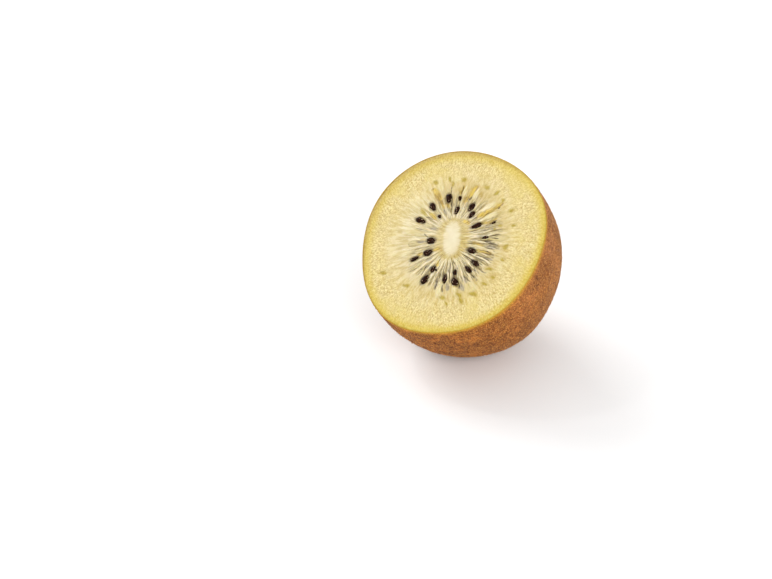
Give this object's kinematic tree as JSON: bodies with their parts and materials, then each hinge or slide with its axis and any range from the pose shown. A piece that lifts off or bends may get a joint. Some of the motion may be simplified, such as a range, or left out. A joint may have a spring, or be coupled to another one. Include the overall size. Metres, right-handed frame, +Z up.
{
  "type": "golden kiwi fruit half",
  "caption": "Golden kiwi fruit cut across, resting on its brown skin with the yellow cut face, pale core and dark seeds leaning forward.",
  "frame": {"origin": "middle of the small flat spot on the skin that the fruit rests on", "axes": "+Z up from the surface it rests on; the cut face's outward normal leans from +Z towards -Y by 36.7 degrees; +X runs across the cut face"},
  "size_m": [0.0541, 0.0541, 0.0541],
  "materials": {
    "flesh": "moist, finely grained yellow fruit flesh with a firm cream-white core",
    "seed": "glossy near-black seed",
    "skin": "thin dull brown skin with fine tan flecks and short down"
  },
  "bodies": {
    "root": {"kiwi_half": "flesh"}
  },
  "joints": []
}
